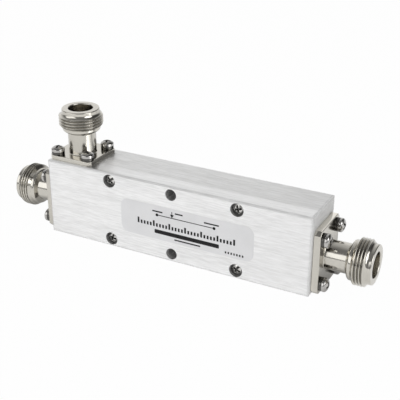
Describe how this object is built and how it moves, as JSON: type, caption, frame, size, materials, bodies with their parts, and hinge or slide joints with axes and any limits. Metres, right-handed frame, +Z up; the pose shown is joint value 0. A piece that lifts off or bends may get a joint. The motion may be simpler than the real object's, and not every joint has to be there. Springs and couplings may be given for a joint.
{
  "type": "directional coupler",
  "caption": "Rectangular milled aluminium block with threaded coaxial jacks at both ends and on top, for splitting off a set share of a radio-frequency signal.",
  "frame": {"origin": "middle of the block's lower face, where it stands", "axes": "+X from the input jack to the output jack, -Y out of the cover plate, +Z up towards the coupled jack"},
  "size_m": [0.1392, 0.02, 0.0469],
  "materials": {
    "block_aluminium": "milled and brushed along the length, lightly rounded edges",
    "jack_nickel": "bright nickel plate on turned brass",
    "screw_steel": "bright steel with cross recesses",
    "insulator_ptfe": "white fluoropolymer, slightly waxy",
    "contact_silver": "silver plate on turned brass",
    "line_brass": "plain milled bar",
    "load_ceramic": "matt white ceramic",
    "label_print": "grey printed field with dark line work"
  },
  "bodies": {
    "root": {"housing": "block_aluminium", "cover_plate": "block_aluminium", "cover_screws": "screw_steel", "input_jack_shell": "jack_nickel", "output_jack_shell": "jack_nickel", "coupled_jack_shell": "jack_nickel", "input_insulator": "insulator_ptfe", "output_insulator": "insulator_ptfe", "coupled_insulator": "insulator_ptfe", "input_contact": "contact_silver", "output_contact": "contact_silver", "coupled_contact": "contact_silver", "input_flange_screws": "screw_steel", "output_flange_screws": "screw_steel", "coupled_flange_screws": "screw_steel", "input_lock_washers": "screw_steel", "output_lock_washers": "screw_steel", "coupled_lock_washers": "screw_steel", "main_line": "line_brass", "coupled_line": "line_brass", "front_spacers": "insulator_ptfe", "rear_spacers": "insulator_ptfe", "load_base": "jack_nickel", "load_element": "load_ceramic"}
  },
  "joints": []
}
